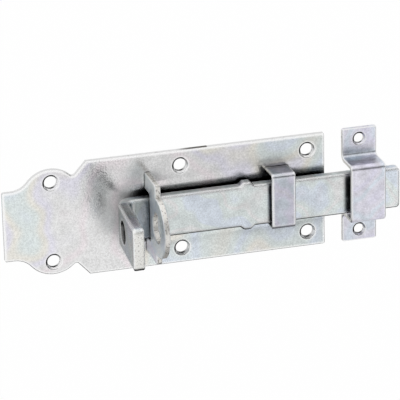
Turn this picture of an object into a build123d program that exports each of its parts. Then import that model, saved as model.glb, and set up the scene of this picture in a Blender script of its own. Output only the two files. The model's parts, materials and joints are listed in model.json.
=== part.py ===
"""Lockable door bolt: base plate, padlock lug, guide strap, sliding bolt and keeper.

Frame: +X is the way the bolt shoots, +Z is up, the front faces -Y.
The back of the base plate and of the keeper's feet lies in the plane y = 0.
The origin is the centre of the four screw holes in the wide part of the plate.
All sizes are in millimetres and degrees.
"""
import math
import os

from build123d import *

# Base plate
plate_thick = 2.0
plate_height = 44.0
plate_corner = 0.6
hole_dia = 4.8
hole_pitch_x = 48.6
hole_pitch_z = 32.5
right_margin = 6.75
left_margin = 18.1
shoulder_inset = 13.4
shoulder_angle = 48.0
end_height = 26.6
ear_pitch_z = 30.8
ear_rim = 4.9
ear_round = 11.0
ear_sweep = 8.0
notch_round = 1.2
edge_break = 0.3
rim_break = 0.6

# Bolt, a flat bar that lies a little below the middle of the plate
bolt_width = 15.9
bolt_thick = 4.1
bolt_axis_z = -0.85
bolt_gap = 1.7
bolt_edge = 0.7
bolt_overhang = 27.6
tip_corner = 1.4
bend_inner = 2.8
tab_from_edge = 81.0
tab_lean = 3.0
tab_corner = 1.6
tab_hole_dia = 8.8
tab_past_hole = 19.0
padlock_above = 9.8

# Pressed stops on the bolt's two edges
stop_length = 5.6
stop_crest = 2.6
stop_proud = 1.3
stop_sunk = 2.0
stop_round = 1.1
stop_from_edge = 31.7

# Padlock lug
lug_thick = 2.2
lug_from_edge = 69.0
lug_lift = 0.55
lug_leg = 6.3
lug_hole_dia = 11.2
lug_corner = 0.8
lug_tenon = 4.4
peen_flare = 0.5
eye_wall = 5.6
shoulder_drop = 1.2
slot_play = 0.35
slot_side_play = 1.15

# Guide strap
strap_width = 9.1
strap_from_edge = 23.1
strap_lift = 1.4
strap_sheet = 1.1
strap_bend = 0.5
strap_play = 2.1
strap_side_play = 1.75
strap_tenon = 5.0

# Keeper
keeper_width = 13.4
keeper_gap = 7.1
keeper_lift = 0.85
keeper_sheet = 1.6
keeper_bend = 0.4
foot_bend = 1.6
keeper_play = 3.1
keeper_side_play = 1.75
keeper_foot = 11.1
keeper_corner = 0.8
keeper_hole_dia = 3.8
keeper_hole_inset = 4.3

# Places worked out from the sizes above
plate_right = hole_pitch_x / 2 + right_margin
ear_hole_x = -1.5 * hole_pitch_x
plate_left = ear_hole_x - left_margin
shoulder_x = ear_hole_x + shoulder_inset
front_y = -plate_thick
bolt_back_y = front_y - bolt_gap
bolt_front_y = bolt_back_y - bolt_thick
padlock_y = bolt_front_y - padlock_above
tab_x = plate_right - tab_from_edge
tab_end_y = padlock_y - tab_past_hole
tip_x = plate_right + bolt_overhang
stop_x = plate_right - stop_from_edge
lug_x = plate_right - lug_from_edge
lug_axis_z = bolt_axis_z + lug_lift
slot_half = bolt_width / 2 + slot_side_play
strap_x = plate_right - strap_from_edge
strap_axis_z = bolt_axis_z + strap_lift
strap_half = bolt_width / 2 + strap_side_play + strap_sheet
strap_front_y = bolt_front_y - strap_play - strap_sheet
keeper_x = plate_right + keeper_gap
keeper_axis_z = bolt_axis_z + keeper_lift
keeper_half = bolt_width / 2 + keeper_side_play + keeper_sheet
keeper_front_y = bolt_front_y - keeper_play - keeper_sheet
keeper_end = keeper_half + keeper_foot


def screw_hole(dia: float, depth: float, x: float, z: float) -> Part:
    """A cutter along Y that runs well past both faces of a sheet of the given depth."""
    return Pos(x, -depth / 2, z) * Rot(90, 0, 0) * Cylinder(dia / 2, 3 * depth)


def break_edges(body: Part, seat_y: float) -> Part:
    """Break the cut edges of a stamped piece on both of its X sides, except along its seat."""
    sides = body.faces().filter_by(Axis.X)
    edges = [edge for face in sides for edge in face.edges() if edge.center().Y < seat_y - edge_break]
    return chamfer(edges, edge_break)


def break_rims(body: Part, dia: float, front: float) -> Part:
    """Break the front rims of the round holes of one diameter in the face at y = front."""
    rims = body.edges().filter_by(GeomType.CIRCLE)
    rims = [rim for rim in rims if abs(rim.radius - dia / 2) < edge_break / 2]
    return chamfer([rim for rim in rims if abs(rim.arc_center.Y - front) < edge_break / 2], rim_break)


def vertices_near(sketch: Sketch, x: float, y: float, reach: float) -> list:
    """The corners of a sketch near (x, y) and near its mirror point (x, -y)."""
    return [v for v in sketch.vertices() if math.hypot(v.X - x, abs(v.Y) - y) < reach]


def plate_outline() -> Sketch:
    """The plate seen from the front, drawn in X and Z: wide part, two round ears, square end."""
    top = plate_height / 2
    end_half = end_height / 2
    prow_x = shoulder_x - top / math.tan(math.radians(shoulder_angle))
    ear_z = ear_pitch_z / 2 + ear_rim - ear_round
    right_side = [(plate_right, top), (plate_right, -top)]
    outline = make_face(Polyline((prow_x, 0), (shoulder_x, top), *right_side, (shoulder_x, -top), close=True))
    outline += Pos((plate_left + shoulder_x) / 2, 0) * Rectangle(shoulder_x - plate_left, end_height)
    for side in (-1, 1):
        outline += Pos(ear_hole_x, side * ear_z) * Circle(ear_round)
    sweep_x = ear_hole_x - math.sqrt(ear_round**2 - (end_half - ear_z) ** 2)
    outline = fillet(vertices_near(outline, sweep_x, end_half, plate_corner), ear_sweep)
    inner = [v for v in outline.vertices() if ear_hole_x < v.X < shoulder_x - notch_round]
    outline = fillet(inner, notch_round)
    corners = vertices_near(outline, plate_left, end_half, plate_corner)
    corners += vertices_near(outline, plate_right, top, plate_corner)
    return fillet(corners, plate_corner)


def peened_tenon(width: float, height: float) -> Part:
    """A tenon through the plate, peened out into a countersunk slot at the plate's back."""
    shank = extrude(Plane.XZ * Rectangle(width, height), amount=plate_thick)
    head = Plane.XZ * Rectangle(width + 2 * peen_flare, height + 2 * peen_flare)
    return shank + extrude(head, amount=peen_flare, taper=45)


def lug_tenons() -> list:
    """The lug's two tenons."""
    leg_middle = slot_half + lug_leg / 2
    tenon = Pos(lug_x + lug_thick / 2, 0) * peened_tenon(lug_thick, lug_tenon)
    return [Pos(0, 0, lug_axis_z + side * leg_middle) * tenon for side in (-1, 1)]


def strap_tenons() -> list:
    """The strap's two tenons."""
    leg_middle = strap_half - strap_sheet / 2
    tenon = Pos(strap_x + strap_width / 2, 0) * peened_tenon(strap_tenon, strap_sheet)
    return [Pos(0, 0, strap_axis_z + side * leg_middle) * tenon for side in (-1, 1)]


def base_plate() -> Part:
    """The stamped plate with its screw holes and tenon slots."""
    plate = extrude(Plane.XZ * plate_outline(), amount=plate_thick)
    front = plate.faces().sort_by(Axis.Y)[0]
    plate = chamfer(front.edges(), edge_break)
    for side in (-1, 1):
        for x in (-hole_pitch_x / 2, hole_pitch_x / 2):
            plate -= screw_hole(hole_dia, plate_thick, x, side * hole_pitch_z / 2)
        plate -= screw_hole(hole_dia, plate_thick, ear_hole_x, side * ear_pitch_z / 2)
    plate = break_rims(plate, hole_dia, front_y)
    for tenon in lug_tenons() + strap_tenons():
        plate -= tenon
    return plate


def lug_outline() -> Sketch:
    """The lug seen along X, drawn in Y and Z: shouldered legs and a round eye."""
    shoulder_y = padlock_y + shoulder_drop
    rise = front_y - shoulder_y
    legs = Pos(front_y - rise / 2, lug_axis_z) * Rectangle(rise, 2 * (slot_half + lug_leg))
    legs = fillet(legs.vertices().sort_by(Axis.X)[:2], lug_corner)
    eye = Pos(padlock_y, bolt_axis_z) * Circle(lug_hole_dia / 2 + eye_wall)
    hole = Pos(padlock_y, bolt_axis_z) * Circle(lug_hole_dia / 2)
    slot_depth = bolt_gap + bolt_thick + slot_play
    slot = Pos(front_y - slot_depth / 2, lug_axis_z) * Rectangle(slot_depth, 2 * slot_half)
    return legs + eye - hole - slot


def padlock_lug() -> Part:
    """The standing lug with its slot, eye and two riveted tenons."""
    lug = extrude(Plane.YZ.offset(lug_x) * lug_outline(), amount=lug_thick)
    lug = break_edges(lug, front_y)
    for tenon in lug_tenons():
        lug += tenon
    return lug


def bridge_outline(seat_y: float, top_y: float, half: float, sheet: float, bend: float) -> Sketch:
    """A strip of sheet bent to a bridge, seen along X and drawn in Y and Z."""
    rise = seat_y - top_y
    outer = Pos(seat_y - rise / 2, 0) * Rectangle(rise, 2 * half)
    outer = fillet(outer.vertices().sort_by(Axis.X)[:2], bend + sheet)
    hollow = rise - sheet
    inner = Pos(seat_y - hollow / 2, 0) * Rectangle(hollow, 2 * (half - sheet))
    inner = fillet(inner.vertices().sort_by(Axis.X)[:2], bend)
    return outer - inner


def guide_strap() -> Part:
    """The bridge over the bolt, with two riveted tenons."""
    outline = bridge_outline(front_y, strap_front_y, strap_half, strap_sheet, strap_bend)
    strap = extrude(Plane.YZ.offset(strap_x) * Pos(0, strap_axis_z) * outline, amount=strap_width)
    strap = break_edges(strap, front_y)
    for tenon in strap_tenons():
        strap += tenon
    return strap


def keeper_outline() -> Sketch:
    """The keeper's hat section, drawn in Y and Z, with the bends between legs and feet."""
    hat = bridge_outline(0, keeper_front_y, keeper_half, keeper_sheet, keeper_bend)
    foot_length = keeper_foot + keeper_sheet
    for side in (-1, 1):
        foot_z = side * (keeper_end - foot_length / 2)
        hat += Pos(-keeper_sheet / 2, foot_z) * Rectangle(keeper_sheet, foot_length)
    hat = fillet(vertices_near(hat, -keeper_sheet, keeper_half, edge_break), foot_bend)
    return fillet(vertices_near(hat, 0, keeper_half - keeper_sheet, edge_break), foot_bend + keeper_sheet)


def keeper() -> Part:
    """The separate hat-section keeper for the door frame."""
    middle_x = keeper_x + keeper_width / 2
    body = extrude(Plane.YZ.offset(keeper_x) * keeper_outline(), amount=keeper_width)
    body = break_edges(body, 0)
    plan = Plane.XZ * Pos(middle_x, 0) * RectangleRounded(keeper_width, 2 * keeper_end, keeper_corner)
    body &= extrude(plan, amount=-keeper_front_y)
    for side in (-1, 1):
        body -= screw_hole(keeper_hole_dia, keeper_sheet, middle_x, side * (keeper_end - keeper_hole_inset))
    body = break_rims(body, keeper_hole_dia, -keeper_sheet)
    return Pos(0, 0, keeper_axis_z) * body


def bolt_profile() -> Sketch:
    """The bar and its bent tab seen from above, drawn in X and Y."""
    lean = math.tan(math.radians(tab_lean))
    skin = bolt_thick / math.cos(math.radians(tab_lean))
    tab_end_x = tab_x - lean * (bolt_front_y - tab_end_y)
    outer = (tab_x + lean * bolt_thick, bolt_back_y)
    inner = (tab_x + skin, bolt_front_y)
    bar_end = [(tip_x, bolt_back_y), (tip_x, bolt_front_y)]
    tab_end = [(tab_end_x + skin, tab_end_y), (tab_end_x, tab_end_y)]
    profile = make_face(Polyline(*bar_end, inner, *tab_end, outer, close=True))
    at_inner = profile.vertices().sort_by_distance((*inner, 0))[0]
    profile = fillet(at_inner, bend_inner)
    at_outer = profile.vertices().sort_by_distance((*outer, 0))[0]
    return fillet(at_outer, bend_inner + bolt_thick)


def bolt_stop(side: int) -> Part:
    """One pressed bulge, flush with the bar's faces, on its upper (+1) or lower (-1) edge."""
    foot = stop_length / 2
    crest = stop_crest / 2
    right_flank = [(crest, stop_proud), (foot, 0), (foot, -stop_sunk)]
    left_flank = [(-foot, -stop_sunk), (-foot, 0), (-crest, stop_proud)]
    outline = make_face(Polyline(*right_flank, *left_flank, close=True))
    outline = fillet(outline.vertices().sort_by(Axis.Y)[-2:], stop_round)
    bulge = extrude(Plane.XZ * outline, amount=bolt_thick)
    rims = bulge.faces().filter_by(Axis.Y).edges()
    rims = [edge for edge in rims if edge.center().Z > edge_break - stop_sunk]
    bulge = fillet(rims, bolt_edge)
    turn = Rot(0, 0, 0) if side > 0 else Rot(0, 180, 0)
    return Pos(stop_x, bolt_back_y, bolt_axis_z + side * bolt_width / 2) * turn * bulge


def sliding_bolt() -> Part:
    """The flat bar with its handle tab, rounded edges, stops and padlock hole."""
    low_z = bolt_axis_z - bolt_width / 2
    bolt = extrude(Plane.XY.offset(low_z) * bolt_profile(), amount=bolt_width)
    tip_edges = bolt.edges().filter_by(Axis.Y).group_by(Axis.X)[-1]
    bolt = fillet(tip_edges, tip_corner)
    tab_edges = bolt.edges().filter_by(Axis.X).group_by(Axis.Y)[0]
    bolt = fillet(tab_edges, tab_corner)
    sides = bolt.faces().filter_by(Axis.Z).sort_by(Axis.Z)
    bolt = fillet(sides[0].edges() + sides[-1].edges(), bolt_edge)
    for side in (-1, 1):
        bolt += bolt_stop(side)
    hole = Pos(tab_x, padlock_y, bolt_axis_z) * Rot(0, 90, 0) * Cylinder(tab_hole_dia / 2, 4 * bolt_thick)
    return bolt - hole


def main() -> None:
    """Build every piece and write one file for each."""
    os.makedirs("parts", exist_ok=True)
    makers = [base_plate, padlock_lug, guide_strap, sliding_bolt, keeper]
    for maker in makers:
        export_step(maker(), f"parts/{maker.__name__}.step")


main()
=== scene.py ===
"""Looks of a lockable door bolt: zinc plating, cut edges, studio and camera.

The stamped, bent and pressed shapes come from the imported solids, which stay as they are.
Lengths are in metres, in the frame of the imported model: +X is the way the bolt shoots,
+Z is up and the front faces -Y.
"""

import json
import logging
import math
from dataclasses import dataclass
from enum import Enum

import bpy
from mathutils import Matrix, Vector

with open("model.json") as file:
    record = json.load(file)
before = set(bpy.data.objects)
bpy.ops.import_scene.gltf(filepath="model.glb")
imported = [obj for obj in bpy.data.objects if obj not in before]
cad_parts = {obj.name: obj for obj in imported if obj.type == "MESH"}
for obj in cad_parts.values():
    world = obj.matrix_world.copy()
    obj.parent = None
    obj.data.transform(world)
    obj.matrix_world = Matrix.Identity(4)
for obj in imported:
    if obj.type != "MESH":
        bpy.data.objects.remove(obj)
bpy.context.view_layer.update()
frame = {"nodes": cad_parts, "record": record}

MILLIMETRE = 0.001
log = logging.getLogger("door_bolt")

Colour = tuple[float, float, float]
Point = tuple[float, float, float]
Span = tuple[float, float]
Node = bpy.types.Node
Socket = bpy.types.NodeSocket
Number = float | Socket
Paint = Colour | Socket

# Shares that grow or fall over a range
RISING: Span = (0.0, 1.0)
FALLING: Span = (1.0, 0.0)

# Colours of painted shade in crevices and under the pieces, of painted highlights on edges and of the
# metal at a grazing look
PAINTED_SHADE: Colour = (0.012, 0.013, 0.014)
PAINTED_HIGHLIGHT: Colour = (0.98, 0.98, 0.98)
GRAZING: Colour = (0.6, 0.6, 0.6)

# Parts of the patterns that are put to use, and what the fine grain does to the light
CLOUD_PART: Span = (0.22, 0.78)
GRAIN_PART: Span = (0.25, 0.75)
POLISH_PART: Span = (0.30, 0.70)
RAMP_PART: Span = (0.08, 0.92)
SPARKLE: Span = (0.88, 1.12)

# Where in a pattern an edge without pits is torn, how far pits lower that, and a pit's rim
PITLESS = 0.72
PITS_LOWER = 0.3
PIT_RIM: Span = (-0.06, 0.08)

# How far a normal leans along an axis where one kind of face turns into another
SQUARE_ON: Span = (0.80, 0.92)
SIDE_ON: Span = (0.45, 0.55)
LEVEL: Span = (0.80, 0.97)
LOOKING_BACK: Span = (0.30, 0.70)
LOOKING_DOWN: Span = (-0.50, -0.06)
EDGE_DOWN: Span = (-0.45, -0.15)
RIM_OUTWARD: Span = (0.40, 0.60)
RIM_UPWARD: Span = (0.15, 0.40)
WALL_ASIDE: Span = (0.75, 0.90)

# How well the eased and the true normal agree on an edge with a painted highlight and away from it
EDGE_MATCH: Span = (0.985, 0.9998)

# Rays that tell edges, crevices and dull places
EDGE_RAYS = 6
CREVICE_RAYS = 12
DULL_RAYS = 8

# How far beyond a hole's radius its painted shade on wall and rim reaches
SCREW_RIM = 0.0007
SHACKLE_RIM = 0.0002


class Axis(Enum):
    """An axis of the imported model's frame."""

    X = "X"
    Y = "Y"
    Z = "Z"


class FilmTint(Enum):
    """Tints that the clear film gives the zinc as its thickness drifts, as shares of its grey."""

    SILVER = (1.000, 1.000, 1.000)
    STRAW = (1.034, 1.012, 0.942)
    ROSE = (1.044, 0.980, 1.004)
    LILAC = (0.980, 0.966, 1.066)
    VIOLET = (0.985, 0.965, 1.120)
    SKY = (0.915, 0.988, 1.085)
    SEA = (0.945, 1.018, 1.010)


class CutFaces(Enum):
    """Which faces of a piece were sheared: an axis, and whether their normals follow it."""

    AROUND_Y = (Axis.Y, False)
    AROUND_X = (Axis.X, False)
    ACROSS_X = (Axis.X, True)
    ACROSS_Y = (Axis.Y, True)


class Graph:
    """A small helper that adds and links the nodes of one shader tree.

    Attributes:
        MIX_INPUTS: Where a colour mix takes its share, its first and its second colour.
        MIX_RESULT: Where it gives the mixed colour.
    """

    MIX_INPUTS = (0, 6, 7)
    MIX_RESULT = 2

    def __init__(self, tree: bpy.types.NodeTree) -> None:
        """Empty the tree and keep it.

        Args:
            tree: The node tree to fill.
        """
        self.tree = tree
        tree.nodes.clear()

    def add(self, kind: str, **values: object) -> Node:
        """Add a node and set its inputs or properties by name.

        Args:
            kind: The node's type name, such as ShaderNodeMath.
            values: Inputs, with _ for a space in the name, or properties of the node.

        Returns:
            The new node.
        """
        node = self.tree.nodes.new(kind)
        for name, value in values.items():
            if hasattr(node, name):
                setattr(node, name, value)
            else:
                node.inputs[name.replace("_", " ")].default_value = value
        return node

    def link(self, source: Socket, target: Socket) -> None:
        """Link one output to one input."""
        self.tree.links.new(source, target)

    def feed(self, target: Socket, value: Number | Paint) -> None:
        """Link or set one input.

        Args:
            target: The input.
            value: An output socket, a number or a colour.
        """
        if isinstance(value, Socket):
            self.link(value, target)
        elif isinstance(value, tuple):
            target.default_value = (*value, 1.0)
        else:
            target.default_value = value

    def apart(self, vector: Socket) -> Node:
        """Take a vector apart.

        Args:
            vector: The output socket that gives it.

        Returns:
            The node whose outputs are X, Y and Z.
        """
        node = self.add("ShaderNodeSeparateXYZ")
        self.link(vector, node.inputs[0])
        return node

    def math(self, operation: str, first: Number, second: Number = 0.0) -> Socket:
        """Work out one number from two.

        Args:
            operation: The name of the operation, such as MULTIPLY.
            first: A number or an output socket.
            second: A number or an output socket.

        Returns:
            The output socket.
        """
        node = self.add("ShaderNodeMath", operation=operation)
        for target, value in zip(node.inputs, (first, second)):
            self.feed(target, value)
        return node.outputs[0]

    def product(self, first: Socket, *others: Number) -> Socket:
        """Multiply numbers or shares.

        Args:
            first: The first of them.
            others: The rest.

        Returns:
            The output socket.
        """
        for other in others:
            first = self.math("MULTIPLY", first, other)
        return first

    def largest(self, first: Socket, *others: Number) -> Socket:
        """Take the largest of some numbers or shares.

        Args:
            first: The first of them.
            others: The rest.

        Returns:
            The output socket.
        """
        for other in others:
            first = self.math("MAXIMUM", first, other)
        return first

    def spread(self, value: Socket, source: Span, target: Span) -> Socket:
        """Map a range of numbers smoothly onto another one, clamped at both ends.

        Args:
            value: The number to map.
            source: Low and high end of the range it comes from.
            target: What the two ends become.

        Returns:
            The output socket.
        """
        node = self.add("ShaderNodeMapRange", interpolation_type="SMOOTHSTEP")
        self.link(value, node.inputs["Value"])
        for name, number in zip(("From Min", "From Max", "To Min", "To Max"), (*source, *target)):
            node.inputs[name].default_value = number
        return node.outputs["Result"]

    def noise(self, place: Socket, size: float, detail: float, rough: float) -> Socket:
        """A cloudy pattern whose patches are about as large as the given size.

        Args:
            place: The coordinates that carry the pattern.
            size: The patches' size in metres.
            detail: How many finer layers it has.
            rough: How strong the finer layers are.

        Returns:
            The output socket, around 0.5.
        """
        node = self.add("ShaderNodeTexNoise", Scale=1.0 / size, Detail=detail, Roughness=rough)
        self.link(place, node.inputs["Vector"])
        return node.outputs["Fac"]

    def blend(self, kind: str, share: Number, first: Paint, second: Paint) -> Socket:
        """Blend two colours.

        Args:
            kind: The blend type, such as MIX or MULTIPLY.
            share: The second colour's share, a number or a socket.
            first: A colour or a socket.
            second: A colour or a socket.

        Returns:
            The output socket.
        """
        node = self.add("ShaderNodeMix", data_type="RGBA", blend_type=kind)
        for number, value in zip(self.MIX_INPUTS, (share, first, second)):
            self.feed(node.inputs[number], value)
        return node.outputs[self.MIX_RESULT]


@dataclass(frozen=True)
class ShearedEdge:
    """The torn and burnished look of a cut edge.

    Attributes:
        faces: Which faces are cut.
        colour: The bright colour of the burnished part.
        dark: The colour of the torn pits.
        pit_size: The pits' size.
        pits: How much of the edge they cover, from 0 to 1.
        pit_depth: How far they take on their dark colour.
        in_front_of: The Y in front of which faces count as cut.
        rough: The roughness of the cut.
    """

    faces: CutFaces
    colour: Colour = (0.78, 0.77, 0.74)
    dark: Colour = (0.16, 0.15, 0.14)
    pit_size: float = 0.0009
    pits: float = 0.35
    pit_depth: float = 0.8
    in_front_of: float = 1.0
    rough: float = 0.42

    def pit_part(self) -> Span:
        """The part of a noise pattern over which pits set in: more pits, an earlier start."""
        middle = PITLESS - PITS_LOWER * self.pits
        return middle + PIT_RIM[0], middle + PIT_RIM[1]


@dataclass(frozen=True)
class Hole:
    """A punched hole, whose wall carries painted shade.

    Attributes:
        centre: A point on its axis.
        reach: How far from its axis the dark wall goes.
        along: The axis that it runs along.
        dark: The grey level of the wall's painted shade.
        blur: Over how much the dark ends at its reach.
        lit_from: How far right of the axis a screw hole's wall starts to lose its painted shade and
            where it is painted as lit.
        lit_dark: The share of painted shade that stays on the part painted as lit.
    """

    centre: Point
    reach: float
    along: Axis = Axis.Y
    dark: float = 0.015
    blur: float = 0.0001
    lit_from: Span = (0.0006, 0.0020)
    lit_dark: float = 0.05


@dataclass(frozen=True)
class Scar:
    """A dark stretch of the upper cut edge, where the sheet tore.

    Attributes:
        start: Where it begins, thin.
        full: Where it has its full strength.
        end: Where it breaks off.
        break_off: Over how much it breaks off.
        above: The height above which the edge lies.
        blur: Over how much it sets in at that height.
    """

    start: float = -0.0260
    full: float = -0.0200
    end: float = -0.0136
    break_off: float = 0.0004
    above: float = 0.0212
    blur: float = 0.0003


@dataclass(frozen=True)
class Fade:
    """How the plating's colour grows lighter or darker along the piece.

    Attributes:
        ends: The two places along X between which it changes.
        shares: The factor on the colour at each.
        slant: How far the change leans with the height.
    """

    ends: Span = (-0.09, 0.06)
    shares: Span = (1.0, 1.0)
    slant: float = 0.0


@dataclass(frozen=True)
class Crevice:
    """How far out of corners and gaps the plating stays dull and carries painted shade.

    Attributes:
        reach: How far it is dark in most places.
        wide: How far it is dark in the stretch where that is most, if there is one.
        axis: The axis along which that stretch is told.
        middle: The middle from which it is told.
        ends: How far from the middle the stretch is over and where it is full.
        slant: How far the stretch leans along X.
        open_parts: How open to the room a place is where it is fully dark and where it is bright.
        right_of: The X right of which it is fully dark.
        fading: How far left of that it fades out.
        backs: Whether only faces that look back take the painted shade.
        dull: How far out it is dull beside the stretch, if it is.
        dull_parts: How open to the room a place is where it is fully dull and where it isn't.
        dull_edge: Over how much the dulling sets in beside the stretch.
        dull_rough: The roughness where it is dull.
        chalk: The share of the bare metal's shine that is lost there.
    """

    reach: float
    wide: float = 0.0
    axis: Axis = Axis.Z
    middle: float = 0.0
    ends: Span = (0.0, 0.0)
    slant: float = 0.0
    open_parts: Span = (0.45, 0.78)
    right_of: float = -1.0
    fading: float = 0.004
    backs: bool = False
    dull: float = 0.0
    dull_parts: Span = (0.60, 0.97)
    dull_edge: float = 0.0015
    dull_rough: float = 0.6
    chalk: float = 0.7


@dataclass(frozen=True)
class Ground:
    """What every part of one material reads.

    Attributes:
        graph: The material's graph.
        place: The patterns' coordinates.
        axes: The piece's own coordinates, taken apart.
        lean: The piece's own normals, taken apart.
        fine: The fine grain.
        spots: The coarser mottling.
    """

    graph: Graph
    place: Socket
    axes: Node
    lean: Node
    fine: Socket
    spots: Socket


@dataclass(frozen=True)
class Plating:
    """Bright zinc under a thin clear film.

    Attributes:
        name: The material's name.
        tints: The film's tints in the order of its thickness.
        edge: The look of the cut edges.
        grey: How much light the bare zinc gives back.
        metal: How far it shines as bare metal rather than as a pale coat.
        fade: How the zinc's colour grows lighter or darker along the piece.
        drift: The size of the tinted patches.
        tilt: How fast the film's thickness changes along X.
        offset: Where the piece's patches lie in the pattern.
        roughness: The finest and coarsest roughness.
        grain: The size of the fine crystals.
        spangle: The size of the coarser mottling.
        mottle: How strong that mottling is.
        ripple: How far the fine crystals stand out beside the mottling.
        relief_depth: How deep that relief is.
        relief_share: How much of it shows.
        side_rough: The roughness of faces that look up or down.
        side_behind: The Y behind which those faces are so rough.
        side_front: The share of that roughness that they keep in front of it.
        step: Over how much such a change along Y takes place.
        under: The share of the colour that faces looking down keep under their painted shade.
        crevice: How far it is dull and carries painted shade in corners and gaps, if it is.
        shine: How far in from its edges the plating carries a painted highlight.
        edge_rough: The roughness of those edges.
        rounding: How far its edges look rounded off, if they do.
        holes: The punched holes.
        scar: The torn stretch of the edge, if there is one.
    """

    name: str
    tints: tuple[FilmTint, ...]
    edge: ShearedEdge
    grey: float = 0.70
    metal: float = 1.0
    fade: Fade = Fade()
    drift: float = 0.034
    tilt: float = 0.0
    offset: Point = (0.0, 0.0, 0.0)
    roughness: Span = (0.17, 0.26)
    grain: float = 0.0006
    spangle: float = 0.0035
    mottle: float = 0.07
    ripple: float = 0.3
    relief_depth: float = 0.00006
    relief_share: float = 0.35
    side_rough: float = 0.0
    side_behind: float = -1.0
    side_front: float = 0.40
    step: float = 0.001
    under: float = 1.0
    crevice: Crevice | None = None
    shine: float = 0.0014
    edge_rough: float = 0.0
    rounding: float = 0.0
    holes: tuple[Hole, ...] = ()
    scar: Scar | None = None

    def material(self) -> bpy.types.Material:
        """Make the material.

        Returns:
            The new material.
        """
        made = bpy.data.materials.new(self.name)
        made.use_nodes = True
        graph = Graph(made.node_tree)
        ground = self.ground(graph)
        shader = graph.add("ShaderNodeBsdfPrincipled", Metallic=self.metal)
        graph.feed(shader.inputs["Specular Tint"], GRAZING)
        cut = self.cut_share(ground)
        shine = self.shine_share(ground)
        rough = self.coarseness(ground, cut, shine)
        if self.crevice and self.crevice.dull:
            dulled = self.dull_share(ground)
            rough = graph.largest(rough, graph.product(dulled, self.crevice.dull_rough))
            lost = graph.product(dulled, self.crevice.chalk)
            graph.link(graph.math("SUBTRACT", self.metal, lost), shader.inputs["Metallic"])
        graph.link(self.colour(ground, cut, shine), shader.inputs["Base Color"])
        graph.link(rough, shader.inputs["Roughness"])
        graph.link(self.relief(ground), shader.inputs["Normal"])
        output = graph.add("ShaderNodeOutputMaterial")
        graph.link(shader.outputs[0], output.inputs["Surface"])
        return made

    def ground(self, graph: Graph) -> Ground:
        """Lay out the coordinates and the patterns that the material reads.

        Args:
            graph: The material's graph.

        Returns:
            The coordinates and patterns.
        """
        coords = graph.add("ShaderNodeTexCoord")
        mapping = graph.add("ShaderNodeMapping", Location=self.offset)
        graph.link(coords.outputs["Object"], mapping.inputs["Vector"])
        place = mapping.outputs[0]
        return Ground(
            graph=graph,
            place=place,
            axes=graph.apart(coords.outputs["Object"]),
            lean=graph.apart(coords.outputs["Normal"]),
            fine=graph.noise(place, self.grain, detail=2.0, rough=0.6),
            spots=graph.noise(place, self.spangle, detail=3.0, rough=0.6),
        )

    def colour(self, ground: Ground, cut: Socket, shine: Socket) -> Socket:
        """The colour of the zinc with its edges, holes and crevices.

        Args:
            ground: What the material reads.
            cut: How far a place belongs to a cut edge.
            shine: How far a place lies on an edge with a painted highlight.

        Returns:
            The colour socket.
        """
        graph = ground.graph
        # Painted highlight along the edges, laid into the film's colour.
        skin = graph.blend("MIX", shine, self.film_colour(ground), PAINTED_HIGHLIGHT)
        torn = graph.blend("MIX", self.pit_share(ground), self.edge.colour, self.edge.dark)
        colour = graph.blend("MIX", cut, skin, torn)
        # Painted shade on the walls and rims of the holes.
        for hole in self.holes:
            colour = graph.blend("MIX", self.wall_share(ground, hole), colour, (hole.dark,) * 3)
        # Painted shade on faces that look down.
        if self.under < 1.0:
            below = graph.spread(ground.lean.outputs["Z"], LOOKING_DOWN, (1.0 - self.under, 0.0))
            colour = graph.blend("MIX", below, colour, PAINTED_SHADE)
        # Painted shade in corners and gaps beside other pieces.
        if self.crevice:
            colour = graph.blend("MIX", self.crevice_share(ground), colour, PAINTED_SHADE)
        return colour

    def film_colour(self, ground: Ground) -> Socket:
        """The tinted zinc.

        Args:
            ground: What the material reads.

        Returns:
            The colour socket.
        """
        graph = ground.graph
        cloud = graph.noise(ground.place, self.drift, detail=1.5, rough=0.45)
        tilted = graph.product(ground.axes.outputs["X"], self.tilt)
        thick = graph.math("ADD", graph.spread(cloud, CLOUD_PART, RISING), tilted)
        ramp = graph.add("ShaderNodeValToRGB")
        ramp.color_ramp.interpolation = "EASE"
        stops = ramp.color_ramp.elements
        while len(stops) < len(self.tints):
            stops.new(0.5)
        low, high = RAMP_PART
        for number, (stop, tint) in enumerate(zip(stops, self.tints)):
            stop.position = low + (high - low) * number / (len(self.tints) - 1)
            stop.color = (*(self.grey * share for share in tint.value), 1.0)
        graph.link(thick, ramp.inputs[0])
        leaning = graph.product(ground.axes.outputs["Z"], self.fade.slant)
        way = graph.math("ADD", ground.axes.outputs["X"], leaning)
        faded = graph.spread(way, self.fade.ends, self.fade.shares)
        sparkle = graph.spread(ground.fine, GRAIN_PART, SPARKLE)
        mottled = graph.spread(ground.spots, GRAIN_PART, (1.0 - self.mottle, 1.0 + self.mottle))
        level = graph.product(faded, sparkle, mottled)
        shade = graph.add("ShaderNodeCombineColor")
        for target in shade.inputs:
            graph.link(level, target)
        return graph.blend("MULTIPLY", 1.0, ramp.outputs[0], shade.outputs[0])

    def coarseness(self, ground: Ground, cut: Socket, shine: Socket) -> Socket:
        """The roughness of the zinc, its cut edges, its edges with painted highlights and its sides.

        Args:
            ground: What the material reads.
            cut: How far a place belongs to a cut edge.
            shine: How far a place lies on an edge with a painted highlight.

        Returns:
            The roughness socket.
        """
        graph = ground.graph
        return graph.largest(
            graph.spread(ground.spots, POLISH_PART, self.roughness),
            graph.product(cut, self.edge.rough),
            graph.product(self.side_share(ground), self.side_rough),
            graph.product(shine, self.edge_rough),
        )

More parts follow.
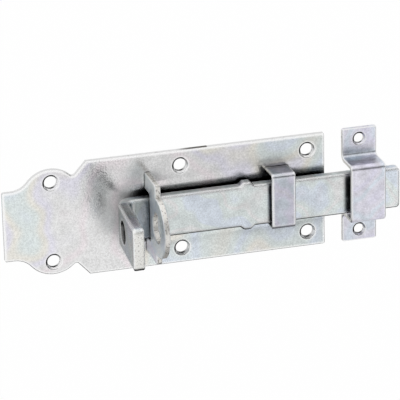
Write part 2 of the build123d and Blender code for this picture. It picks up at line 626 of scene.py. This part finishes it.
    def cut_share(self, ground: Ground) -> Socket:
        """How far a place belongs to a cut edge, from its normal.

        Args:
            ground: What the material reads.

        Returns:
            The share, from 0 to 1.
        """
        graph = ground.graph
        axis, across = self.edge.faces.value
        slope = graph.math("ABSOLUTE", ground.lean.outputs[axis.value])
        if across:
            share = graph.spread(slope, SQUARE_ON, RISING)
        else:
            share = graph.spread(slope, SIDE_ON, FALLING)
        limits = (self.edge.in_front_of - self.step, self.edge.in_front_of)
        return graph.product(share, graph.spread(ground.axes.outputs["Y"], limits, FALLING))

    def shine_share(self, ground: Ground) -> Socket:
        """How far a place lies on an edge that carries a painted highlight, unless it looks down.

        Args:
            ground: What the material reads.

        Returns:
            The share, from 0 to 1.
        """
        graph = ground.graph
        eased = graph.add("ShaderNodeBevel", samples=EDGE_RAYS, Radius=self.shine)
        true = graph.add("ShaderNodeNewGeometry")
        match = graph.add("ShaderNodeVectorMath", operation="DOT_PRODUCT")
        graph.link(eased.outputs[0], match.inputs[0])
        graph.link(true.outputs["Normal"], match.inputs[1])
        edge = graph.spread(match.outputs["Value"], EDGE_MATCH, FALLING)
        return graph.product(edge, graph.spread(ground.lean.outputs["Z"], EDGE_DOWN, RISING))

    def crevice_share(self, ground: Ground) -> Socket:
        """How far a place takes painted shade because it lies in a gap or corner.

        Args:
            ground: What the material reads.

        Returns:
            The share, from 0 to 1.
        """
        graph = ground.graph
        sky = graph.add("ShaderNodeAmbientOcclusion", samples=CREVICE_RAYS, Distance=self.crevice.reach)
        if self.crevice.wide:
            over, full = self.crevice.ends
            ends = sorted([(over, self.crevice.reach), (full, self.crevice.wide)])
            places, reaches = zip(*ends)
            reach = graph.spread(self.stretch_place(ground), places, reaches)
            graph.link(reach, sky.inputs["Distance"])
        shut = graph.spread(sky.outputs["AO"], self.crevice.open_parts, FALLING)
        if self.crevice.backs:
            return graph.product(shut, graph.spread(ground.lean.outputs["Y"], LOOKING_BACK, RISING))
        return graph.product(shut, self.held_share(ground))

    def stretch_place(self, ground: Ground) -> Socket:
        """How far a place is from the middle of the stretch where the crevice is widest.

        Args:
            ground: What the material reads.

        Returns:
            The distance in metres.
        """
        graph = ground.graph
        leaning = graph.product(ground.axes.outputs["X"], self.crevice.slant)
        place = graph.math("ADD", ground.axes.outputs[self.crevice.axis.value], leaning)
        return graph.math("ABSOLUTE", graph.math("SUBTRACT", place, self.crevice.middle))

    def held_share(self, ground: Ground) -> Socket:
        """Whether a place lies far enough right for its crevice to be dark, from 0 to 1."""
        limits = (self.crevice.right_of - self.crevice.fading, self.crevice.right_of)
        return ground.graph.spread(ground.axes.outputs["X"], limits, RISING)

    def dull_share(self, ground: Ground) -> Socket:
        """How far a place near another piece is dull, beside the stretch that is darkest.

        Args:
            ground: What the material reads.

        Returns:
            The share, from 0 to 1.
        """
        graph = ground.graph
        sky = graph.add("ShaderNodeAmbientOcclusion", samples=DULL_RAYS, Distance=self.crevice.dull)
        near = graph.spread(sky.outputs["AO"], self.crevice.dull_parts, FALLING)
        over = self.crevice.ends[0]
        limits = (over, over + self.crevice.dull_edge)
        within = graph.spread(self.stretch_place(ground), limits, FALLING)
        darkest = graph.product(within, self.held_share(ground))
        return graph.product(near, graph.math("SUBTRACT", 1.0, darkest))

    def side_share(self, ground: Ground) -> Socket:
        """How far a place is on a side that looks up or down and was left rough.

        Args:
            ground: What the material reads.

        Returns:
            The share, from 0 to 1.
        """
        graph = ground.graph
        level = graph.spread(graph.math("ABSOLUTE", ground.lean.outputs["Z"]), LEVEL, RISING)
        limits = (self.side_behind - self.step, self.side_behind)
        behind = graph.spread(ground.axes.outputs["Y"], limits, (self.side_front, 1.0))
        return graph.product(level, behind)

    def pit_share(self, ground: Ground) -> Socket:
        """Where the cut edge is torn or dark.

        Args:
            ground: What the material reads.

        Returns:
            The share of dark, from 0 to 1.
        """
        graph = ground.graph
        torn = graph.noise(ground.place, self.edge.pit_size, detail=3.0, rough=0.65)
        share = graph.spread(torn, self.edge.pit_part(), (0.0, self.edge.pit_depth))
        if self.scar:
            share = graph.largest(share, self.scar_share(ground))
        return share

    def wall_share(self, ground: Ground, hole: Hole) -> Socket:
        """Where a hole's wall and rim carry painted shade: all round, or in a screw hole all but the
        right, which is painted as lit.

        Args:
            ground: What the material reads.
            hole: The hole.

        Returns:
            Near 1 on the wall, and 0 away from it.
        """
        graph, axes, lean = ground.graph, ground.axes.outputs, ground.lean.outputs
        flat = graph.add("ShaderNodeCombineXYZ")
        for axis, middle in zip(Axis, hole.centre):
            graph.feed(flat.inputs[axis.value], middle if axis is hole.along else axes[axis.value])
        gauge = graph.add("ShaderNodeVectorMath", operation="DISTANCE")
        gauge.inputs[1].default_value = hole.centre
        graph.link(flat.outputs[0], gauge.inputs[0])
        near = graph.spread(gauge.outputs["Value"], (hole.reach, hole.reach + hole.blur), FALLING)
        if hole.along is Axis.X:
            slope = graph.math("ABSOLUTE", lean["X"])
            return graph.product(near, graph.spread(slope, WALL_ASIDE, FALLING))
        beside = graph.math("SUBTRACT", axes["X"], hole.centre[0])
        dark = graph.product(near, graph.spread(beside, hole.lit_from, (1.0, hole.lit_dark)))
        rim = graph.spread(graph.math("ABSOLUTE", lean["Y"]), RIM_OUTWARD, RISING)
        low_rim = graph.product(rim, graph.spread(lean["Z"], RIM_UPWARD, RISING))
        return graph.product(dark, graph.math("SUBTRACT", 1.0, low_rim))

    def scar_share(self, ground: Ground) -> Socket:
        """Where the torn stretch of the upper edge is.

        Args:
            ground: What the material reads.

        Returns:
            The share of dark, from 0 to 1.
        """
        graph, scar = ground.graph, self.scar
        along, height = ground.axes.outputs["X"], ground.axes.outputs["Z"]
        grown = graph.spread(along, (scar.start, scar.full), RISING)
        broken = graph.spread(along, (scar.end - scar.break_off, scar.end), FALLING)
        high = graph.spread(height, (scar.above, scar.above + scar.blur), RISING)
        return graph.product(grown, broken, high)

    def relief(self, ground: Ground) -> Socket:
        """The slight relief of the plated sheet.

        Args:
            ground: What the material reads.

        Returns:
            The normal socket.
        """
        graph = ground.graph
        height = graph.math("ADD", graph.product(ground.fine, self.ripple), ground.spots)
        bump = graph.add("ShaderNodeBump", Strength=self.relief_share, Distance=self.relief_depth)
        graph.link(height, bump.inputs["Height"])
        if self.rounding:
            eased = graph.add("ShaderNodeBevel", samples=EDGE_RAYS, Radius=self.rounding)
            graph.link(eased.outputs[0], bump.inputs["Normal"])
        return bump.outputs[0]


@dataclass
class DressedPiece:
    """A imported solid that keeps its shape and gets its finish.

    Attributes:
        node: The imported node's name.
        finish: The plating it takes.
    """

    node: str
    finish: Plating

    def dress(self) -> None:
        """Give the node its material and report it."""
        frame["nodes"][self.node].material_slots[0].material = self.finish.material()
        log.info("%s dressed with %s", self.node, self.finish.name)


@dataclass
class Studio:
    """White floor, soft light from above and a dark room beyond it.

    Attributes:
        floor_size: The floor's side.
        floor_height: The floor's height.
        floor_paint: The floor's colour where light falls on it.
        floor_glow: How much of the floor's white stands whatever falls on it.
        shade: How light the metal sees the floor's painted shadow under the object.
        shade_front: Where along Y that shade begins in front, from white to shade.
        shade_back: Where along Y it ends behind, from shade to white.
        shade_left: Where along X it begins on the left, from white to shade.
        patch: Where along X a painted light patch breaks that painted shadow.
        patch_rim: How far from there the patch is still white and where it is over.
        room: How light the room is.
        gap: How dark its dark gap is.
        gap_foot: The heights at which the gap begins and is full, as parts of a look's direction.
        gap_top: The heights at which it begins to end and is over.
        gap_front: How far forward it is full and where it is over.
        gap_left: How far to the left it is over and where it is full.
    """

    floor_size: float = 8.0
    floor_height: float = -0.09
    floor_paint: Colour = (0.94, 0.94, 0.94)
    floor_glow: float = 0.97
    shade: float = 0.22
    shade_front: Span = (-0.13, -0.05)
    shade_back: Span = (0.06, 0.14)
    shade_left: Span = (-0.16, -0.10)
    patch: float = 0.085
    patch_rim: Span = (0.02, 0.04)
    room: Colour = (0.98, 0.98, 0.98)
    gap: Colour = (0.012, 0.014, 0.015)
    gap_foot: Span = (0.02, 0.14)
    gap_top: Span = (0.50, 0.70)
    gap_front: Span = (-0.30, 0.05)
    gap_left: Span = (-0.22, 0.05)

    def build(self) -> None:
        """Build the floor and the world."""
        self.build_floor()
        self.build_world()

    def build_floor(self) -> None:
        """Lay the floor, which stays white to the camera, keeps the shadow, and in the metal is white
        but for a painted shadow under the object.
        """
        bpy.ops.object.select_all(action="DESELECT")
        bpy.ops.mesh.primitive_plane_add(size=self.floor_size, location=(0, 0, self.floor_height))
        floor = bpy.context.object
        floor.name = "studio_floor"
        made = bpy.data.materials.new("studio_white")
        made.use_nodes = True
        graph = Graph(made.node_tree)
        paint = graph.add("ShaderNodeBsdfDiffuse", Color=(*self.floor_paint, 1.0))
        glow = graph.add("ShaderNodeEmission", Color=(1.0, 1.0, 1.0, 1.0))
        graph.link(self.floor_level(graph), glow.inputs["Strength"])
        mix = graph.add("ShaderNodeMixShader")
        graph.link(graph.product(self.seen(graph), self.floor_glow), mix.inputs[0])
        graph.link(paint.outputs[0], mix.inputs[1])
        graph.link(glow.outputs[0], mix.inputs[2])
        output = graph.add("ShaderNodeOutputMaterial")
        graph.link(mix.outputs[0], output.inputs["Surface"])
        floor.data.materials.append(made)

    def floor_level(self, graph: Graph) -> Socket:
        """How light the floor is: white to the camera, and in the metal carrying a painted shadow under
        the object.

        Args:
            graph: The floor's graph.

        Returns:
            The level, from the shade to 1.
        """
        coords = graph.add("ShaderNodeTexCoord")
        axes = graph.apart(coords.outputs["Object"]).outputs
        into_shade, out_of_shade = (1.0, self.shade), (self.shade, 1.0)
        off_patch = graph.math("ABSOLUTE", graph.math("SUBTRACT", axes["X"], self.patch))
        path = graph.add("ShaderNodeLightPath")
        # Painted shadow under the object, seen only in the metal, with a painted light patch in it.
        return graph.largest(
            graph.spread(axes["Y"], self.shade_front, into_shade),
            graph.spread(axes["Y"], self.shade_back, out_of_shade),
            graph.spread(axes["X"], self.shade_left, into_shade),
            graph.spread(off_patch, self.patch_rim, into_shade),
            path.outputs["Is Camera Ray"],
        )

    def seen(self, graph: Graph) -> Socket:
        """Whether the camera, a gloss or a clear material looks at the surface.

        Args:
            graph: The graph that asks.

        Returns:
            1 where it does, and 0 elsewhere.
        """
        path = graph.add("ShaderNodeLightPath").outputs
        return graph.largest(path["Is Camera Ray"], path["Is Glossy Ray"], path["Is Transmission Ray"])

    def build_world(self) -> None:
        """Light the room: white to the camera, and in the metal a dark gap above the camera's side."""
        world = bpy.data.worlds.new("studio_room")
        bpy.context.scene.world = world
        world.use_nodes = True
        graph = Graph(world.node_tree)
        coords = graph.add("ShaderNodeTexCoord")
        look = graph.apart(coords.outputs["Generated"]).outputs
        gap = graph.product(
            graph.spread(look["Z"], self.gap_foot, RISING),
            graph.spread(look["Z"], self.gap_top, FALLING),
            graph.spread(look["Y"], self.gap_front, FALLING),
            graph.spread(look["X"], self.gap_left, RISING),
        )
        room = graph.blend("MIX", gap, self.room, self.gap)
        path = graph.add("ShaderNodeLightPath")
        seen = graph.blend("MIX", path.outputs["Is Camera Ray"], room, (1.0, 1.0, 1.0))
        background = graph.add("ShaderNodeBackground", Strength=1.0)
        graph.link(seen, background.inputs["Color"])
        output = graph.add("ShaderNodeOutputWorld")
        graph.link(background.outputs[0], output.inputs["Surface"])


@dataclass
class Viewpoint:
    """The camera, at the photograph's viewing angle.

    Attributes:
        target: The point in the middle of the picture.
        turn: Degrees to the left of straight on.
        rise: Degrees above the level.
        roll: Degrees that the camera is rolled.
        distance: From the target to the camera.
        lens: The focal length in millimetres for a 36 mm sensor.
    """

    target: Point = (-0.017138, -0.002, 0.001659)
    turn: float = 15.509
    rise: float = 21.474
    roll: float = -1.316
    distance: float = 1.035449
    lens: float = 253.39

    def build(self) -> None:
        """Make the camera and set it as the scene's own."""
        turn, rise, roll = (math.radians(angle) for angle in (self.turn, self.rise, self.roll))
        outward = Vector((-math.sin(turn), -math.cos(turn), 0.0))
        back = math.cos(rise) * outward + Vector((0.0, 0.0, math.sin(rise)))
        level = Vector((math.cos(turn), -math.sin(turn), 0.0))
        upward = back.cross(level)
        right = math.cos(roll) * level + math.sin(roll) * upward
        up = math.cos(roll) * upward - math.sin(roll) * level
        data = bpy.data.cameras.new("viewpoint")
        data.lens = self.lens
        camera = bpy.data.objects.new("viewpoint", data)
        bpy.context.scene.collection.objects.link(camera)
        place = Matrix((right, up, back)).transposed().to_4x4()
        place.translation = Vector(self.target) + self.distance * back
        camera.matrix_world = place
        bpy.context.scene.camera = camera


# The film's tints on each kind of piece, from thin to thick
RAINBOW = (
    FilmTint.SILVER, FilmTint.ROSE, FilmTint.SILVER, FilmTint.LILAC, FilmTint.STRAW,
    FilmTint.SEA, FilmTint.SKY, FilmTint.SEA, FilmTint.STRAW,
)
DAMP = (FilmTint.SKY, FilmTint.SEA, FilmTint.SKY, FilmTint.LILAC, FilmTint.SKY, FilmTint.SEA)
HAZY = (FilmTint.SKY, FilmTint.VIOLET, FilmTint.LILAC, FilmTint.VIOLET, FilmTint.SKY, FilmTint.VIOLET)
DRAWN = (
    FilmTint.LILAC, FilmTint.SKY, FilmTint.SEA, FilmTint.SILVER,
    FilmTint.SEA, FilmTint.SEA, FilmTint.SKY, FilmTint.SKY,
)
COOL = (
    FilmTint.SKY, FilmTint.VIOLET, FilmTint.LILAC, FilmTint.SKY,
    FilmTint.LILAC, FilmTint.VIOLET, FilmTint.LILAC,
)


def mount(name: str) -> dict:
    """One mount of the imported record, by its name."""
    return next(entry for entry in frame["record"]["mounts"] if entry["name"] == name)


def screw_holes(name: str) -> tuple[Hole, ...]:
    """The holes of a screw pattern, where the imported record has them.

    Args:
        name: The pattern's name among the mounts.

    Returns:
        One hole for each screw.
    """
    pattern = mount(name)
    dims = pattern["dims"]
    x, y, z = pattern["pos_m"]
    aside = dims.get("spacing_x_mm", 0.0) / 2 * MILLIMETRE
    above = dims["spacing_y_mm"] / 2 * MILLIMETRE
    reach = dims["hole_r_mm"] * MILLIMETRE + SCREW_RIM
    columns = (x - aside, x + aside) if aside else (x,)
    rows = (z - above, z + above)
    return tuple(Hole((column, y, row), reach) for column in columns for row in rows)


def shackle_hole() -> Hole:
    """The padlock hole of the bolt's tab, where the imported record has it.

    Returns:
        The hole.
    """
    bore = mount("tab_padlock_hole")
    reach = bore["dims"]["r_mm"] * MILLIMETRE + SHACKLE_RIM
    # Its wall takes a lighter painted shade.
    return Hole(tuple(bore["pos_m"]), reach, Axis.X, dark=0.22)


def plate_finish() -> Plating:
    """The stamped plate's finish: rainbow tints, a black band of painted shade behind the bolt and a
    torn edge.

    Returns:
        The plating.
    """
    return Plating(
        name="plate_zinc_film",
        tints=RAINBOW,
        edge=ShearedEdge(CutFaces.AROUND_Y, colour=(0.84, 0.84, 0.84), pits=0.15),
        fade=Fade(ends=(-0.09, 0.03), shares=(1.11, 0.88), slant=1.3),
        tilt=3.0,
        roughness=(0.14, 0.22),
        ripple=2.0,
        # Painted shade in the gaps beside the other pieces, darkest in the band behind the bolt.
        crevice=Crevice(
            reach=0.0010, wide=0.0074, ends=(0.0114, 0.0088), slant=-0.03, open_parts=(0.63, 0.74),
            right_of=-0.0385, fading=0.009, dull=0.012,
        ),
        holes=(*screw_holes("plate_screws"), *screw_holes("ear_screws")),
        scar=Scar(),
    )


def lug_finish() -> Plating:
    """The lug's finish: a pale matt coat and a bright sheared rim with torn pits.

    Returns:
        The plating.
    """
    return Plating(
        name="lug_zinc_film",
        tints=DAMP,
        edge=ShearedEdge(CutFaces.AROUND_X, colour=(0.90, 0.88, 0.84), pits=0.5, pit_size=0.0007),
        grey=0.98,
        metal=0.75,
        offset=(0.3, 0.1, 0.0),
        roughness=(0.40, 0.48),
        shine=0.0006,
        edge_rough=0.55,
    )


def strap_finish() -> Plating:
    """The bent strap's finish: hazy violet film, painted shade inside.

    Returns:
        The plating.
    """
    return Plating(
        name="strap_zinc_film",
        tints=HAZY,
        edge=ShearedEdge(CutFaces.ACROSS_X),
        grey=0.57,
        drift=0.012,
        offset=(0.7, 0.2, 0.1),
        roughness=(0.30, 0.38),
        mottle=0.18,
        side_rough=0.48,
        # Painted shade on the faces inside the strap.
        crevice=Crevice(reach=0.0026, backs=True),
    )


def bolt_finish() -> Plating:
    """The drawn bar's finish: pale green and blue film, rounded edges, a sawn tab end and painted shade
    underneath and in its gaps.

    Returns:
        The plating.
    """
    sawn = ShearedEdge(
        CutFaces.ACROSS_Y, colour=(0.97, 0.965, 0.93), dark=(0.48, 0.47, 0.45), pits=0.5,
        pit_size=0.0006, in_front_of=-0.034, rough=0.5,
    )
    return Plating(
        name="bolt_zinc_film",
        tints=DRAWN,
        edge=sawn,
        grey=0.67,
        fade=Fade(ends=(0.025, 0.058), shares=(1.0, 1.07)),
        drift=0.016,
        offset=(1.55, 1.35, 1.45),
        roughness=(0.17, 0.25),
        mottle=0.12,
        side_rough=0.65,
        side_behind=-0.0085,
        # Painted shade on faces looking down.
        under=0.05,
        # Painted shade in the gaps beside the other pieces.
        crevice=Crevice(
            reach=0.0010, wide=0.0085, axis=Axis.X, middle=0.02, ends=(0.048, 0.056), right_of=-0.0450,
        ),
        edge_rough=0.3,
        rounding=0.0018,
        holes=(shackle_hole(),),
    )


def keeper_finish() -> Plating:
    """The keeper's finish: cool violet film, painted shade inside.

    Returns:
        The plating.
    """
    return Plating(
        name="keeper_zinc_film",
        tints=COOL,
        edge=ShearedEdge(CutFaces.ACROSS_X),
        grey=0.755,
        drift=0.02,
        offset=(0.9, 0.6, 0.2),
        roughness=(0.33, 0.41),
        mottle=0.16,
        side_rough=0.35,
        # Painted shade on the faces inside the keeper.
        crevice=Crevice(reach=0.0045, backs=True),
        shine=0.0008,
        holes=screw_holes("keeper_screws"),
    )


def pieces() -> list[DressedPiece]:
    """Name every piece with its finish.

    Returns:
        The pieces in the order in which they are dressed.
    """
    return [
        DressedPiece("base_plate", plate_finish()),
        DressedPiece("padlock_lug", lug_finish()),
        DressedPiece("guide_strap", strap_finish()),
        DressedPiece("sliding_bolt", bolt_finish()),
        DressedPiece("keeper", keeper_finish()),
    ]


def main() -> None:
    """Dress the pieces, build the studio and set the camera."""
    logging.basicConfig(level=logging.INFO)
    bpy.context.scene.view_settings.view_transform = "Standard"
    for piece in pieces():
        piece.dress()
    Studio().build()
    Viewpoint().build()


if __name__ == "__main__":
    main()
